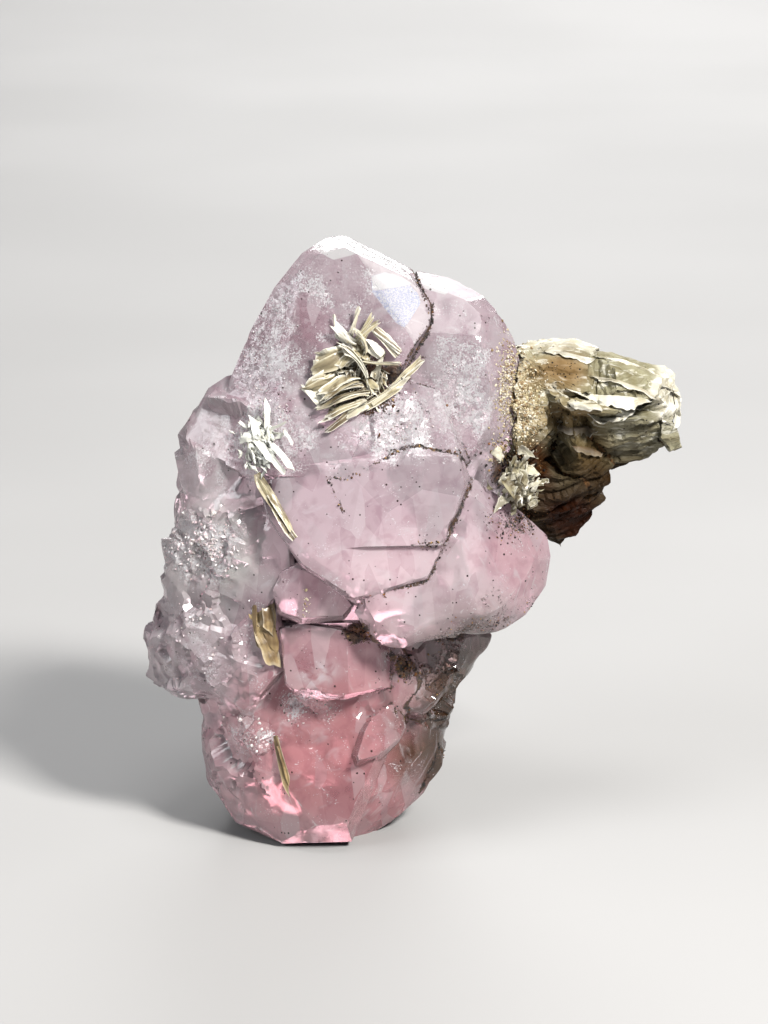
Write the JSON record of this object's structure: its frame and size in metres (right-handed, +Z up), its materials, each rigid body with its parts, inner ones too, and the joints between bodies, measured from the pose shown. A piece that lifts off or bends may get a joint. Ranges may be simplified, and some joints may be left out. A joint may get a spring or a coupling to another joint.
{
  "type": "apatite crystal cluster",
  "caption": "Cluster of pink hexagonal apatite crystals grown together, with plates and blades of muscovite mica, standing on a flat broken base.",
  "frame": {"origin": "on the plane of the flat broken base, under the middle of the specimen's box", "axes": "+Z up, -Y toward the viewer of the picture, +X to the viewer's right"},
  "size_m": [0.054, 0.0332, 0.0594],
  "materials": {
    "pink_apatite": "translucent pink crystal, glossy faces with frosted patches",
    "cream_mica": "pearly layered sheets with brown stains",
    "olive_mica": "pearly olive blades",
    "white_mica": "bright silvery-white blades",
    "brown_mica": "brown stained flakes"
  },
  "bodies": {
    "root": {"apatite_crystals": "pink_apatite", "mica_book": "cream_mica", "mica_rosette": "olive_mica", "mica_spray": "white_mica", "mica_sliver": "olive_mica", "mica_brown_plate": "brown_mica", "mica_junction_tuft": "olive_mica", "mica_splinter": "brown_mica"}
  },
  "joints": []
}
